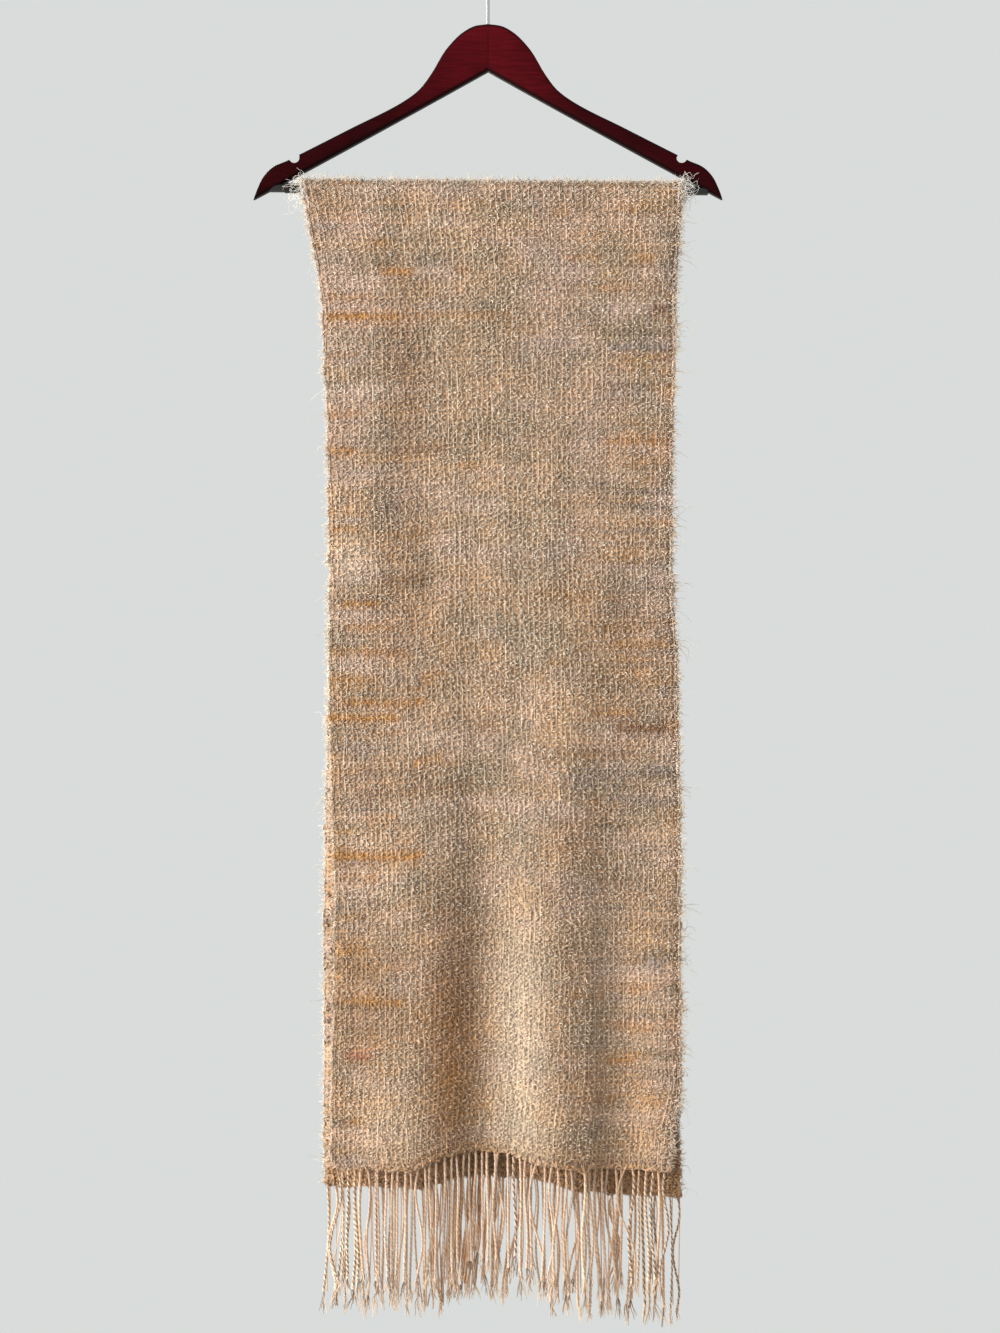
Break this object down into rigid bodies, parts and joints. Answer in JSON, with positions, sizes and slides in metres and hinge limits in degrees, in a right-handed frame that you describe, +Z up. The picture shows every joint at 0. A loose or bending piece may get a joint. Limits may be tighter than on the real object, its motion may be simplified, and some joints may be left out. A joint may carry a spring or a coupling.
{
  "type": "mohair scarf hung over a wooden hanger",
  "caption": "Long woven mohair scarf with knotted fringes, folded over the trouser bar of a lacquered wooden hanger with a wire hook.",
  "frame": {"origin": "the hook's seat: the top of the inside of its bend, where it hangs on a rod", "axes": "+Z up, away from the hem; +X along the hanger, to the right seen from the front; the front panel faces -Y"},
  "size_m": [0.445, 0.0532, 1.333],
  "materials": {
    "mohair_cloth": "brushed boucle weave",
    "fringe_yarn": "twisted yarn",
    "hanger_wood": "gloss cherry lacquer",
    "hook_chrome": "polished",
    "hanger_bar": "black lacquer",
    "bar_sleeve": "clear ribbed vinyl"
  },
  "bodies": {
    "root": {"scarf_front": "mohair_cloth", "scarf_over_bar": "mohair_cloth", "scarf_back": "mohair_cloth", "fringe_front": "fringe_yarn", "fringe_back": "fringe_yarn", "hanger_arm_left": "hanger_wood", "hanger_arm_right": "hanger_wood", "hanger_hook": "hook_chrome", "hanger_bar": "hanger_bar", "hanger_bar_sleeve": "bar_sleeve"}
  },
  "joints": []
}
